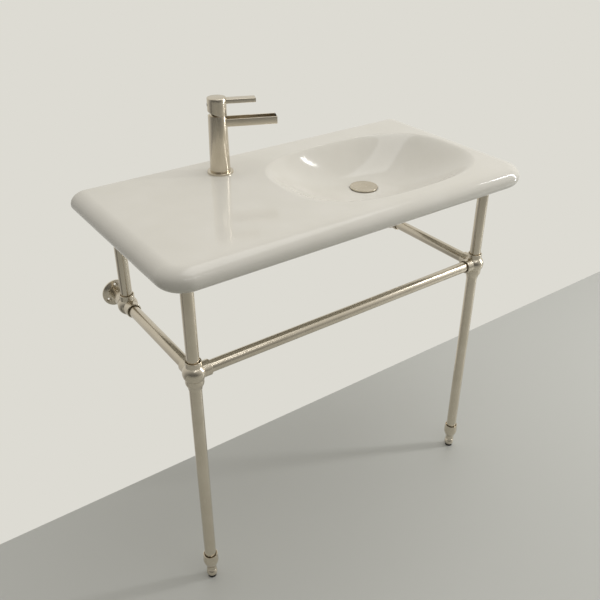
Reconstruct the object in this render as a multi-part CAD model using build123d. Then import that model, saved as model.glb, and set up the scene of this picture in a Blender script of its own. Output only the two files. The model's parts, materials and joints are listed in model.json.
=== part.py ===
from build123d import *
import os
from math import acos, cos, pi, radians, sin, sqrt

# Ceramic console basin on a brass console frame with a single-lever mixer and a pop-up waste.
# Frame: X to the right along the wall, Y into the wall (the wall is the plane Y = 0), Z up.
# The origin is the middle of the two wall-bolt holes, on the wall. Lengths are millimetres.

os.makedirs("parts", exist_ok=True)

# Basin
basin_width = 915.0
basin_depth = 450.0
bolt_drop = 78.0            # wall bolts below the deck
rim_height = 852.0          # deck above the floor
edge_thickness = 51.0       # rolled edge, top to underside
edge_roll_in = 34.0         # how far in the roll of the edge reaches
edge_roll_up = 26.0         # height of the upper part of the roll
corner_radius = 57.0        # front corners in plan
ceramic = 12.0              # wall of the ceramic
edge_lip = 46.0             # width of the solid edge round the hollow underside
boss_radius = 30.0          # pads under the deck that rest on the frame

# Bowl, to the right of the tap
bowl_x = 170.0
bowl_y = -230.0
bowl_half_length = 250.0
bowl_half_width = 172.0
bowl_squareness = 2.8       # exponent of the rim's rounded outline
bowl_depth = 80.0
bowl_swell = 2.2            # how far out the floor stays low
bowl_fold = 1.15            # softness of the fold at the rim
drain_x = 192.0
drain_y = -180.0
floor_radius = 37.0         # level ground round the waste
outline_points = 28
bowl_steps = 9
rim_flare = 2.0             # the cut leaves the deck by this much, so that the rim is clean
over = 1.0                  # how far a cut runs past the face it opens

# Wall bolts
bolt_spacing = 280.0
bolt_hole_radius = 7.0
apron_width = 420.0
apron_below_bolt = 30.0
apron_thickness = 15.0
apron_corner = 22.0

# Frame of tubes
leg_spacing = 780.0
leg_setback = 379.0         # front legs from the wall
rear_setback = 69.0         # rear uprights from the wall
rail_drop = 260.0           # rails below the deck
tube_radius = 13.0
tube_wall = 1.5
slip = 0.05                 # radial clearance of a tube in its socket
ball_radius = 23.5
tee_ball_radius = 22.5
socket_radius = 16.7
socket_reach = 34.0         # from the middle of a ball to the end of a level socket
upper_reach = 28.0          # the same for the socket that points up
socket_depth = 18.0
neck_radius = 19.2          # tapered neck under the front balls
neck_shoulder = 24.0        # where its taper starts, below the middle of the ball
neck_reach = 38.0
neck_end_radius = 14.4
leg_seat = 14.0             # top of the lower leg, below the middle of the ball
set_screw_radius = 2.5
set_screw_recess = 0.5
pad_thickness = 3.0
pad_radius = 18.0
top_cap_flange = 5.0
top_cap_radius = 20.0
top_cap_plug = 16.0

# Wall flanges
flange_radius = 31.5
flange_edge = 3.0
flange_dome = 8.0
flange_neck_radius = 15.0
flange_bore_floor = 2.0
flange_screw_circle = 44.0
flange_screw_count = 3
flange_screw_radius = 2.75
countersink_radius = 5.4

# Levelling feet
foot_pad_height = 3.0
foot_pad_radius = 9.5
bun_radius = 12.35
bun_middle = 13.5
bun_low_radius = 7.2        # where the ball of the foot is cut off below and above
bun_top_radius = 5.6
bun_steps = 10
foot_gap = 0.6
cup_neck_radius = 10.2
cup_neck_height = 33.0      # heights of the cup above the floor
cup_end_radius = 11.4
cup_widest = 56.0
cup_radius = 17.5
cup_swell = 1.15            # fullness of the curve from neck to belly
cup_steps = 6
cup_rim = 74.0
cup_rim_radius = 16.4
cup_well_radius = 14.8
cup_well = 8.0
tube_seat = 49.0
stud_radius = 5.0
thread_slip = 0.06
stud_top = 66.0

# Tap, on the deck
tap_x = -138.0
tap_y = -74.5
tap_turn = -23.0            # plan direction of spout and lever, from X towards Y
tap_hole_radius = 17.5
base_ring_radius = 29.0
base_ring_height = 4.2
base_ring_edge = 0.8
base_seal_height = 1.0
base_seal_inset = 2.0
body_bottom_radius = 22.4
body_top_radius = 20.4
body_top = 128.0
shank_radius = 16.0
shank_bore = 13.0
shank_below = 52.0
shank_grip = 12.0
inlet_radius = 4.6
inlet_depth = 12.0
inlet_offset = 6.2
waterway_radius = 3.4
washer_radius = 27.0
rubber_washer_height = 3.0
clamp_washer_height = 2.0
lock_nut_height = 9.0
nut_radius = 26.0

# Spout
spout_reach = 128.0
spout_width = 28.0
spout_bottom = 105.0
spout_height = 16.0
spout_wall = 2.5
spout_root = 14.0
trough_setback = 1.5        # back of the trough, in front of the body
slot_inset = 2.0            # water slot in the back wall, from each side wall
slot_rise = 1.0
slot_height = 5.3

# Mixing cartridge, heights above the deck
cartridge_seat = 92.0
water_jacket_radius = 16.0
nut_bore_radius = 17.5
housing_radius = 13.8
housing_bore = 11.2
housing_floor = 3.0
housing_top = 119.0
housing_shoulder = 5.0
seal_thickness = 1.0
disc_thickness = 3.5
moving_disc_radius = 7.4
disc_gap = 0.1
disc_port_radius = 2.4
outlet_width = 6.0
cartridge_seal_width = 3.0
pin_inset = 1.0
part_gap = 0.4
pivot_drop = 7.0            # lever pivot below the top of the housing
ball_rise = 0.7             # middle of the ball end above the moving disc
ball_socket = 2.5           # depth of the moving disc's socket
pin_radius = 1.5
pin_slip = 0.05
ball_end_radius = 2.8
arm_radius = 2.1
spindle_radius = 3.5
carrier_slot = 7.8          # width of the slot that guides the spindle
carrier_slot_length = 16.0
lift_angle = 20.0
shroud_inset = 0.6          # edge of the dome inside the nut's bore
shroud_rim = 0.3            # height of the dome's upright edge
shroud_hole = 12.4
nut_hole = 10.4

# Cap and lever
cap_radius = 20.7
cap_wall = 3.0
cap_gap = 1.0
cap_height = 38.0           # from the seam to the flat top
cap_roof = 3.0
cap_edge = 1.4
tilt_clearance = 0.8
boss_wall = 2.8
boss_gap = 6.5              # between the dome and the boss in the cap
lever_reach = 83.0
lever_width = 21.0
lever_thickness = 9.0
lever_below_top = 3.5
lever_edge = 0.6
lever_tail = 0.5            # how far the lever reaches into the hollow of the cap
spindle_grip = 14.0         # how far the spindle reaches into the boss
grub_rise = 9.0             # grub screw above the end of the boss
grub_radius = 2.5
plug_radius = 3.2
plug_depth = 2.2
plug_inset = 0.3
grub_proud = 1.0            # grub screw outside the boss

# Waste
waste_hole_radius = 23.0
waste_flange_radius = 31.0
waste_flange = 2.5
waste_recess = 3.2
waste_recess_radius = 34.5
waste_shank_radius = 22.0   # through the ceramic and the lock nut
waste_tube_radius = 20.95   # threaded tail for the trap
shank_spare = 2.0           # shank that shows below the lock nut
waste_bore = 17.5
waste_length = 82.0
waste_seat_radius = 20.5
waste_seat_depth = 6.0
seal_height = 0.7
seal_bore_gap = 1.0
waste_nut_height = 10.0
waste_nut_radius = 31.0
under_washer_height = 5.0
spider_thickness = 3.0
spider_drop = 26.0
hub_wall = 3.0              # round the click mechanism
hub_height = 9.0
cover_radius = 33.2
cover_thickness = 3.4
cover_dome = 0.8
cover_gap = 1.0
stem_radius = 4.0
guide_radius = 7.0
guide_slip = 0.06
guide_below = 20.0          # click mechanism, from the top of the spider
guide_above = 8.0
guide_floor = 3.0
guide_collar = 2.5
guide_collar_height = 2.0
stem_below = 8.0
stopper_seal_radius = 19.3
stopper_seal_thickness = 3.0
seal_clamp_radius = 11.0
seal_clamp = 1.5
stopper_travel = 8.0

# Heights and places that follow
deck = bolt_drop
ground = deck - rim_height
under_edge = deck - edge_thickness
plate_under = deck - ceramic
rail_z = deck - rail_drop
leg_x = leg_spacing / 2
tube_top = under_edge - pad_thickness - top_cap_flange
tube_bore = tube_radius - tube_wall
bun_top = bun_middle + sqrt(bun_radius ** 2 - bun_top_radius ** 2)
housing_base = cartridge_seat + seal_thickness
fixed_disc_low = housing_base + housing_floor
moving_disc_low = fixed_disc_low + disc_thickness + disc_gap
moving_disc_top = moving_disc_low + disc_thickness
pivot_height = housing_top - pivot_drop
ball_height = moving_disc_top + ball_rise
shroud_edge = nut_bore_radius - shroud_inset
shroud_radius = sqrt(shroud_edge ** 2 + (body_top - pivot_height) ** 2) + shroud_rim
boss_bottom = pivot_height + shroud_radius + boss_gap
spindle_top = boss_bottom + spindle_grip
grub_height = boss_bottom + grub_rise
cap_top = body_top + cap_height
tap_base = Vector(tap_x, tap_y, deck)
bowl_floor = deck - bowl_depth


def save(shape, name):
    shape.label = name
    export_step(shape, f"parts/{name}.step")


def save_group(solids, name):
    save(Compound(children=list(solids)), name)


def bar(start, end, radius, bore=0.0):
    """A round bar or tube from one point to another."""
    start = Vector(*start)
    end = Vector(*end)
    along = end - start
    plane = Plane(origin=start, z_dir=along)
    solid = plane * extrude(Circle(radius), amount=along.length)
    if bore > 0:
        solid -= plane * extrude(Circle(bore), amount=along.length)
    return solid


def turned(points, origin=(0, 0, 0)):
    """A solid of revolution about the vertical through origin, from (radius, height) points."""
    outline = Plane.XZ * make_face(Polyline(*points, close=True))
    return Pos(*origin) * revolve(outline, Axis.Z)


def at_tap(shape):
    """Takes a shape modelled with the tap's axis at the origin and the lever along X to its place."""
    return Pos(*tap_base) * Rot(0, 0, tap_turn) * shape


def disc(radius, low, high, bore=0.0):
    shape = Pos(0, 0, low) * extrude(Circle(radius), amount=high - low)
    if bore > 0:
        shape -= Pos(0, 0, low) * extrude(Circle(bore), amount=high - low)
    return shape


# Basin

def edge_plan(inset, low, high):
    """The plan of the basin, drawn in by inset on its three free sides and extruded."""
    half = basin_width / 2 - inset
    front = -(basin_depth - inset)
    radius = corner_radius - inset
    shape = Pos(0, front / 2, low) * extrude(Rectangle(2 * half, -front), amount=high - low)
    if radius > 1.0:
        corners = shape.edges().filter_by(Axis.Z).group_by(Axis.Y)[0]
        shape = fillet(corners, radius)
    return shape


def rolled_edge():
    """The rolled edge: half an oval carried round the left side, the front and the right side."""
    half = basin_width / 2 - edge_roll_in
    front = -(basin_depth - edge_roll_in)
    turn = corner_radius - edge_roll_in
    middle = deck - edge_roll_up
    roll_down = edge_thickness - edge_roll_up
    upper = EllipticalCenterArc((-half, middle), edge_roll_in, edge_roll_up, start_angle=90, arc_size=90)
    lower = EllipticalCenterArc((-half, middle), edge_roll_in, roll_down, start_angle=180, arc_size=90)
    inner = Line((-half, middle - roll_down), (-half, deck))
    section = Plane.XZ * make_face([upper, lower, inner])
    left = Line((-half, 0, 0), (-half, front + turn, 0))
    left_turn = CenterArc((-half + turn, front + turn, 0), turn, 180, 90)
    front_line = Line((-half + turn, front, 0), (half - turn, front, 0))
    right_turn = CenterArc((half - turn, front + turn, 0), turn, 270, 90)
    right = Line((half, front + turn, 0), (half, 0, 0))
    path = Wire([left, left_turn, front_line, right_turn, right])
    return sweep(section, path=path)


def bowl_level(share):
    """Centre, half sizes, squareness and depth of the bowl at a share of the way from waste to rim."""
    x = drain_x + (bowl_x - drain_x) * share
    y = drain_y + (bowl_y - drain_y) * share
    half_length = floor_radius + (bowl_half_length - floor_radius) * share
    half_width = floor_radius + (bowl_half_width - floor_radius) * share
    power = 2.0 + (bowl_squareness - 2.0) * share
    drop = bowl_depth * (1 - share ** bowl_swell) ** bowl_fold
    return x, y, half_length, half_width, power, drop


def bowl_ring(share, grow, lower):
    """One closed outline of the bowl, grown outwards and lowered for the outside of the ceramic."""
    x, y, a, b, power, drop = bowl_level(share)
    a += grow
    b += grow
    points = []
    for i in range(outline_points):
        turn = 2 * pi * i / outline_points
        reach = (abs(cos(turn) / a) ** power + abs(sin(turn) / b) ** power) ** (-1 / power)
        points.append((x + reach * cos(turn), y + reach * sin(turn), deck - drop - lower))
    return Wire([Spline(*points, periodic=True)])


def bowl_form(grow, lower):
    rings = [bowl_ring(i / bowl_steps, grow, lower) for i in range(bowl_steps + 1)]
    rings.append(bowl_ring(1.0, grow + rim_flare, lower - rim_flare))
    return Part() + Solid.make_loft(rings)


def frame_points():
    for x in (-leg_x, leg_x):
        for y in (-leg_setback, -rear_setback):
            yield x, y


def make_basin():
    body = edge_plan(edge_roll_in, under_edge, deck) + rolled_edge()
    hollow = edge_plan(edge_lip, under_edge, plate_under)
    hollow &= Pos(0, -ceramic - basin_depth / 2, deck) * Box(basin_width, basin_depth, 4 * edge_thickness)
    for x, y in frame_points():
        hollow -= bar((x, y, under_edge), (x, y, plate_under), boss_radius)
    body -= hollow
    apron_bottom = -apron_below_bolt
    apron = Pos(0, -apron_thickness / 2, (apron_bottom + plate_under) / 2) * Box(
        apron_width, apron_thickness, plate_under - apron_bottom
    )
    low_corners = apron.edges().filter_by(Axis.Y).group_by(Axis.Z)[0]
    body += fillet(low_corners, apron_corner)
    body += bowl_form(ceramic, ceramic)
    body -= bowl_form(0.0, 0.0)
    for x in (-bolt_spacing / 2, bolt_spacing / 2):
        body -= bar((x, over, 0), (x, -apron_thickness - over, 0), bolt_hole_radius)
    body -= bar((tap_x, tap_y, plate_under - over), (tap_x, tap_y, deck + over), tap_hole_radius)
    low = bowl_floor - ceramic - over
    body -= bar((drain_x, drain_y, low), (drain_x, drain_y, deck), waste_hole_radius)
    recess_floor = bowl_floor - waste_recess
    body -= bar((drain_x, drain_y, recess_floor), (drain_x, drain_y, bowl_floor + over), waste_recess_radius)
    return body


# Frame of tubes

def reach_of(direction):
    return upper_reach if direction == up else socket_reach


def seat_of(direction):
    """Where a tube's end sits in a socket, from the middle of the ball."""
    return reach_of(direction) - socket_depth


def screw_place(center, direction):
    """Where the axis of a socket's set screw meets the axis of the socket."""
    return Vector(*center) + Vector(*direction) * (reach_of(direction) - socket_depth / 2)


def fitting(center, arms, ball, neck=False):
    """A ball with sockets. arms lists the direction of each socket and the side of its set screw."""
    x, y, z = center
    middle = Vector(*center)
    low = z - neck_reach
    body = Pos(*center) * Sphere(ball)
    for direction, _ in arms:
        body += bar(middle, middle + Vector(*direction) * reach_of(direction), socket_radius)
    if neck:
        outline = [
            (0, z),
            (neck_radius, z),
            (neck_radius, z - neck_shoulder),
            (neck_end_radius, low),
            (0, low),
        ]
        body += turned(outline, (x, y, 0))
    for direction, side in arms:
        floor = middle + Vector(*direction) * seat_of(direction)
        mouth = middle + Vector(*direction) * (reach_of(direction) + over)
        body -= bar(floor, mouth, tube_radius + slip)
        start = screw_place(center, direction)
        body -= bar(start, start + Vector(*side) * (ball + over), set_screw_radius)
    if neck:
        body -= bar((x, y, z - leg_seat), (x, y, low - over), tube_radius + slip)
    return body


def set_screws(center, arms):
    for direction, side in arms:
        middle = screw_place(center, direction)
        inner = middle + Vector(*side) * (tube_radius + slip)
        outer = middle + Vector(*side) * (socket_radius - set_screw_recess)
        yield bar(inner, outer, set_screw_radius)


up = (0, 0, 1)
down = (0, 0, -1)
to_wall = (0, 1, 0)
from_wall = (0, -1, 0)
slantwise = (sqrt(0.5), sqrt(0.5), 0)


def wall_flange(x):
    """Domed flange on the wall, turned about the tube's axis, with countersunk screw holes."""
    outline = [
        (tube_radius + slip, flange_bore_floor),
        (tube_radius + slip, flange_dome),
        (flange_neck_radius, flange_dome),
    ]
    for i in range(1, 6):
        share = i / 5
        radius = flange_neck_radius + (flange_radius - flange_neck_radius) * share
        outline.append((radius, flange_edge + (flange_dome - flange_edge) * cos(share * pi / 2)))
    outline.append((flange_radius, 0))
    outline.append((0, 0))
    outline.append((0, flange_bore_floor))
    body = turned(outline)
    for i in range(flange_screw_count):
        turn = pi / 2 + 2 * pi * i / flange_screw_count
        hole_x = flange_screw_circle / 2 * cos(turn)
        hole_y = flange_screw_circle / 2 * sin(turn)
        body -= Pos(hole_x, hole_y, -over) * Cylinder(
            flange_screw_radius, flange_dome + 2 * over, align=(Align.CENTER, Align.CENTER, Align.MIN)
        )
        sink = countersink_radius - flange_screw_radius
        body -= Pos(hole_x, hole_y, flange_edge) * Cone(
            flange_screw_radius, countersink_radius, sink, align=(Align.CENTER, Align.CENTER, Align.MIN)
        )
        body -= Pos(hole_x, hole_y, flange_edge + sink) * Cylinder(
            countersink_radius, flange_dome, align=(Align.CENTER, Align.CENTER, Align.MIN)
        )
    return Plane(origin=(x, 0, rail_z), x_dir=(-1, 0, 0), z_dir=from_wall) * body


def foot_cup(x):
    neck_bottom = bun_top + foot_gap
    outline = [
        (stud_radius + thread_slip, neck_bottom),
        (cup_end_radius, neck_bottom),
        (cup_neck_radius, cup_neck_height),
    ]
    for i in range(1, cup_steps + 1):
        share = i / cup_steps
        radius = cup_neck_radius + (cup_radius - cup_neck_radius) * sin(share * pi / 2) ** cup_swell
        outline.append((radius, cup_neck_height + (cup_widest - cup_neck_height) * share))
    outline += [
        (cup_rim_radius, cup_rim),
        (cup_well_radius, cup_rim),
        (cup_well_radius, cup_rim - cup_well),
        (tube_radius + slip, cup_rim - cup_well),
        (tube_radius + slip, tube_seat),
        (stud_radius + thread_slip, tube_seat),
    ]
    return turned(outline, (x, -leg_setback, ground))


def levelling_foot(x):
    """Ball-shaped foot, cut off below and above, with its threaded stud."""
    outline = [(0, foot_pad_height), (bun_low_radius, foot_pad_height)]
    start = -acos(bun_low_radius / bun_radius)
    end = acos(bun_top_radius / bun_radius)
    for i in range(bun_steps + 1):
        turn = start + (end - start) * i / bun_steps
        outline.append((bun_radius * cos(turn), bun_middle + bun_radius * sin(turn)))
    outline.append((stud_radius, bun_top))
    outline.append((stud_radius, stud_top))
    outline.append((0, stud_top))
    return turned(outline, (x, -leg_setback, ground))


def make_frame():
    screws = []
    seat_up = seat_of(up)
    seat = seat_of(to_wall)
    for name, x, inward in (("left", -leg_x, (1, 0, 0)), ("right", leg_x, (-1, 0, 0))):
        front = (x, -leg_setback, rail_z)
        rear = (x, -rear_setback, rail_z)
        front_arms = [(up, slantwise), (inward, down), (to_wall, down)]
        rear_arms = [(up, slantwise), (from_wall, down), (to_wall, down)]
        save(fitting(front, front_arms, ball_radius, neck=True), f"{name}_front_joint")
        save(fitting(rear, rear_arms, tee_ball_radius), f"{name}_rear_tee")
        screws += list(set_screws(front, front_arms)) + list(set_screws(rear, rear_arms))
        tubes = {
            "upper_leg": ((x, -leg_setback, rail_z + seat_up), (x, -leg_setback, tube_top)),
            "lower_leg": ((x, -leg_setback, ground + tube_seat), (x, -leg_setback, rail_z - leg_seat)),
            "side_rail": ((x, -rear_setback - seat, rail_z), (x, -leg_setback + seat, rail_z)),
            "rear_upright": ((x, -rear_setback, rail_z + seat_up), (x, -rear_setback, tube_top)),
            "wall_stub": ((x, -flange_bore_floor, rail_z), (x, -rear_setback + seat, rail_z)),
        }
        for part, (start, end) in tubes.items():
            save(bar(start, end, tube_radius, tube_bore), f"{name}_{part}")
        save(wall_flange(x), f"{name}_wall_flange")
        save(foot_cup(x), f"{name}_foot_cup")
        save(levelling_foot(x), f"{name}_levelling_foot")
        pad = bar((x, -leg_setback, ground), (x, -leg_setback, ground + foot_pad_height), foot_pad_radius)
        save(pad, f"{name}_foot_pad")
    rail_end = leg_x - seat
    rail = bar((-rail_end, -leg_setback, rail_z), (rail_end, -leg_setback, rail_z), tube_radius, tube_bore)
    save(rail, "front_rail")
    save_group(screws, "socket_set_screws")

    caps = []
    pads = []
    for x, y in frame_points():
        cap = bar((x, y, tube_top), (x, y, tube_top + top_cap_flange), top_cap_radius)
        cap += bar((x, y, tube_top - top_cap_plug), (x, y, tube_top), tube_bore)
        caps.append(cap)
        pads.append(bar((x, y, tube_top + top_cap_flange), (x, y, under_edge), pad_radius))
    save_group(caps, "leg_top_caps")
    save_group(pads, "basin_rest_pads")


# Tap, modelled with its axis at the origin, heights above the deck and the lever along X

def hexagon(across_corners_radius, low, high, bore):
    shape = Pos(0, 0, low) * extrude(RegularPolygon(across_corners_radius, 6), amount=high - low)
    return shape - Pos(0, 0, low) * extrude(Circle(bore), amount=high - low)


def make_tap_mounting():
    ring = disc(base_ring_radius, 0, base_ring_height, shank_radius + part_gap)
    ring = chamfer(ring.faces().sort_by(Axis.Z)[-1].outer_wire().edges(), base_ring_edge)
    seal_outer = base_ring_radius - base_seal_inset
    seal_inner = tap_hole_radius + base_seal_inset
    ring -= disc(seal_outer, 0, base_seal_height, seal_inner)
    save(at_tap(ring), "tap_base_ring")
    save(at_tap(disc(seal_outer, 0, base_seal_height, seal_inner)), "tap_base_seal")
    shank = disc(shank_radius, -shank_below, base_ring_height + shank_grip, shank_bore)
    save(at_tap(shank), "tap_shank")
    bore = shank_radius + slip
    rubber_low = -ceramic - rubber_washer_height
    clamp_low = rubber_low - clamp_washer_height
    save(at_tap(disc(washer_radius, rubber_low, -ceramic, bore)), "tap_rubber_washer")
    save(at_tap(disc(washer_radius, clamp_low, rubber_low, bore)), "tap_clamp_washer")
    save(at_tap(hexagon(nut_radius, clamp_low - lock_nut_height, clamp_low, bore)), "tap_lock_nut")


def make_tap_body():
    bottom = base_ring_height
    body = turned([
        (0, bottom),
        (body_bottom_radius, bottom),
        (body_top_radius, body_top),
        (0, body_top),
    ])
    body -= disc(shank_radius + slip, bottom - over, bottom + shank_grip)
    body -= disc(water_jacket_radius, cartridge_seat, body_top + over)
    body -= disc(nut_bore_radius, housing_top, body_top + over)
    inlet_mouth = bottom + shank_grip
    for y in (-inlet_offset, inlet_offset):
        body -= bar((0, y, inlet_mouth - over), (0, y, inlet_mouth + inlet_depth), inlet_radius)
        body -= bar((0, y, inlet_mouth), (0, y, cartridge_seat + over), waterway_radius)
    opening = Box(
        2 * body_bottom_radius, spout_width, spout_height, align=(Align.MIN, Align.CENTER, Align.MIN)
    )
    body -= Pos(spout_root, 0, spout_bottom) * opening
    save(at_tap(body), "tap_body")


def make_spout():
    """Open trough: floor and two side walls, with a back wall that holds a slot for the water."""
    length = spout_reach - spout_root
    whole = Box(length, spout_width, spout_height, align=(Align.MIN, Align.CENTER, Align.MIN))
    spout = Pos(spout_root, 0, spout_bottom) * whole
    spout -= disc(water_jacket_radius + slip, spout_bottom - over, spout_bottom + spout_height + over)
    spout -= disc(nut_bore_radius + slip, housing_top, spout_bottom + spout_height + over)
    inner = spout_width - 2 * spout_wall
    trough_start = body_top_radius + trough_setback
    trough = Box(spout_reach, inner, spout_height, align=(Align.MIN, Align.CENTER, Align.MIN))
    spout -= Pos(trough_start, 0, spout_bottom + spout_wall) * trough
    slot = Box(spout_reach, inner - 2 * slot_inset, slot_height, align=(Align.MIN, Align.CENTER, Align.MIN))
    spout -= Pos(0, 0, spout_bottom + spout_wall + slot_rise) * slot
    save(at_tap(spout), "tap_spout")


def make_cartridge():
    """Mixing cartridge: two ceramic discs, of which the upper is moved by the lever's spindle."""
    seal_bore = housing_radius - cartridge_seal_width
    save(at_tap(disc(housing_radius, cartridge_seat, housing_base, seal_bore)), "cartridge_base_seal")

    housing = disc(housing_radius, housing_base, housing_top)
    housing += disc(water_jacket_radius - slip, housing_top - housing_shoulder, housing_top)
    housing -= disc(housing_bore, fixed_disc_low, housing_top)
    for y in (-inlet_offset, inlet_offset):
        housing -= bar((0, y, housing_base), (0, y, fixed_disc_low), waterway_radius)
    outlet = Box(outlet_width, outlet_width, 2 * housing_floor + disc_thickness)
    housing -= Pos(housing_radius, 0, fixed_disc_low) * outlet
    save(at_tap(housing), "cartridge_housing")

    fixed = disc(housing_bore - slip, fixed_disc_low, fixed_disc_low + disc_thickness)
    for y in (-inlet_offset, inlet_offset):
        port = bar((0, y, fixed_disc_low), (0, y, moving_disc_low), disc_port_radius)
        fixed -= port
    save(at_tap(fixed), "cartridge_fixed_disc")

    moving = disc(moving_disc_radius, moving_disc_low, moving_disc_top)
    moving -= disc(ball_end_radius + part_gap, moving_disc_top - ball_socket, moving_disc_top)
    save(at_tap(moving), "cartridge_moving_disc")

    carrier_radius = housing_bore - part_gap
    carrier = disc(carrier_radius, moving_disc_top + part_gap, housing_top - part_gap)
    slot_cut = 2 * (housing_top - moving_disc_top)
    carrier -= Pos(0, 0, housing_top) * Box(carrier_slot_length, carrier_slot, slot_cut)
    carrier -= bar((0, -carrier_radius, pivot_height), (0, carrier_radius, pivot_height), pin_radius)
    save(at_tap(carrier), "cartridge_carrier")
    half_pin = carrier_radius - pin_inset
    pin = bar((0, -half_pin, pivot_height), (0, half_pin, pivot_height), pin_radius)
    save(at_tap(pin), "spindle_pin")

    spindle = Pos(0, 0, ball_height) * Sphere(ball_end_radius)
    spindle += disc(arm_radius, ball_height, pivot_height)
    spindle += disc(spindle_radius, pivot_height - spindle_radius, spindle_top)
    eye = bar((0, -spindle_radius, pivot_height), (0, spindle_radius, pivot_height), pin_radius + pin_slip)
    spindle -= eye
    save(at_tap(spindle), "mixer_spindle")

    save(at_tap(disc(nut_bore_radius - slip, housing_top, body_top, nut_hole)), "cartridge_nut")
    dome = Pos(0, 0, pivot_height) * Sphere(shroud_radius)
    dome &= disc(shroud_edge, body_top, pivot_height + shroud_radius, shroud_hole)
    save(at_tap(dome), "cartridge_shroud")


def make_cap():
    """Hollow cap. Its back edge is cut on the slant so that it clears the body when the lever is lifted."""
    low = body_top + cap_gap
    cap = disc(cap_radius, low, cap_top)
    cap = fillet(cap.faces().sort_by(Axis.Z)[-1].edges(), cap_edge)
    cap -= disc(cap_radius - cap_wall, low, cap_top - cap_roof)
    boss = disc(spindle_radius + boss_wall, boss_bottom, cap_top - cap_roof)
    cap += boss
    cap -= disc(spindle_radius, boss_bottom - over, spindle_top)
    clear = body_top - pivot_height + tilt_clearance
    below = 4 * cap_radius
    cutter = Box(below, below, below, align=(Align.CENTER, Align.CENTER, Align.MAX))
    cap -= Pos(0, 0, pivot_height) * Rot(0, lift_angle, 0) * Pos(0, 0, clear) * cutter
    lever_top = cap_top - lever_below_top
    inner_end = sqrt((cap_radius - cap_wall) ** 2 - (lever_width / 2) ** 2) - lever_tail
    lever = Box(
        lever_reach - inner_end, lever_width, lever_thickness, align=(Align.MIN, Align.CENTER, Align.MAX)
    )
    lever = Pos(inner_end, 0, lever_top) * lever
    cap -= lever
    long_edges = lever.edges().filter_by(Axis.X)
    end_edges = lever.faces().sort_by(Axis.X)[-1].edges()
    lever = chamfer(long_edges + end_edges, lever_edge)
    cap -= bar((-spindle_radius, 0, grub_height), (-cap_radius - over, 0, grub_height), grub_radius)
    cap -= bar((-cap_radius + plug_depth, 0, grub_height), (-cap_radius - over, 0, grub_height), plug_radius)
    save(at_tap(cap), "tap_cap")
    save(at_tap(lever), "tap_lever")
    boss_out = spindle_radius + boss_wall
    grub = bar((-spindle_radius, 0, grub_height), (-boss_out - grub_proud, 0, grub_height), grub_radius)
    save(at_tap(grub), "cap_grub_screw")
    plug_out = -cap_radius + plug_inset
    plug = bar((-cap_radius + plug_depth, 0, grub_height), (plug_out, 0, grub_height), plug_radius)
    save(at_tap(plug), "cap_plug")


# Waste

def at_waste(shape):
    return Pos(drain_x, drain_y, bowl_floor) * shape


def make_waste():
    """Pop-up waste, heights from the bowl's floor."""
    seat = -waste_recess
    flange_low = seat + seal_height
    seal = disc(waste_flange_radius, seat, flange_low, waste_hole_radius + seal_bore_gap)
    save(at_waste(seal), "waste_flange_seal")
    flange_top = flange_low + waste_flange
    body = disc(waste_flange_radius, flange_low, flange_top)
    body += disc(waste_tube_radius, flange_top - waste_length, flange_low)
    shank_end = -ceramic - under_washer_height - waste_nut_height - shank_spare
    body += disc(waste_shank_radius, shank_end, flange_low)
    body -= disc(waste_bore, flange_top - waste_length - over, flange_top + over)
    body -= disc(waste_seat_radius, flange_top - waste_seat_depth, flange_top + over)
    spider_top = flange_top - spider_drop
    spider = disc(guide_radius + hub_wall, spider_top - hub_height, spider_top)
    for turn in (0, 60, 120):
        arm = Box(
            2 * waste_bore + over, spider_thickness, spider_thickness,
            align=(Align.CENTER, Align.CENTER, Align.MAX)
        )
        spider += Rot(0, 0, turn) * Pos(0, 0, spider_top) * arm
    spider -= disc(guide_radius, spider_top - hub_height - over, spider_top + over)
    body += spider
    save(at_waste(body), "waste_body")
    guide_low = spider_top - guide_below
    guide_top = spider_top + guide_above
    guide = disc(guide_radius - slip, guide_low, guide_top)
    guide += disc(guide_radius + guide_collar, spider_top, spider_top + guide_collar_height)
    guide -= disc(stem_radius + guide_slip, guide_low + guide_floor, guide_top + over)
    save(at_waste(guide), "click_mechanism")

    under = -ceramic
    bore = waste_shank_radius + slip
    save(at_waste(disc(waste_nut_radius, under - under_washer_height, under, bore)), "waste_under_washer")
    nut_top = under - under_washer_height
    save(at_waste(hexagon(waste_nut_radius, nut_top - waste_nut_height, nut_top, bore)), "waste_lock_nut")

    cover_low = cover_gap
    cover_top = cover_low + cover_thickness
    dome_radius = (cover_radius ** 2 + cover_dome ** 2) / (2 * cover_dome)
    cover = disc(cover_radius, cover_low, cover_top + over)
    cover &= Pos(0, 0, cover_top - dome_radius) * Sphere(dome_radius)
    save(at_waste(cover), "stopper_cover")
    stem = disc(stem_radius, spider_top - stem_below, cover_low)
    seal_low = flange_top - waste_seat_depth + part_gap
    seal_high = seal_low + stopper_seal_thickness
    stem += disc(seal_clamp_radius, seal_low - seal_clamp, seal_low)
    stem += disc(seal_clamp_radius, seal_high, cover_low)
    save(at_waste(stem), "stopper_stem")
    ring = disc(stopper_seal_radius, seal_low, seal_high, stem_radius)
    save(at_waste(ring), "stopper_seal")


save(make_basin(), "basin")
make_frame()
make_tap_mounting()
make_tap_body()
make_spout()
make_cartridge()
make_cap()
make_waste()
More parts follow.
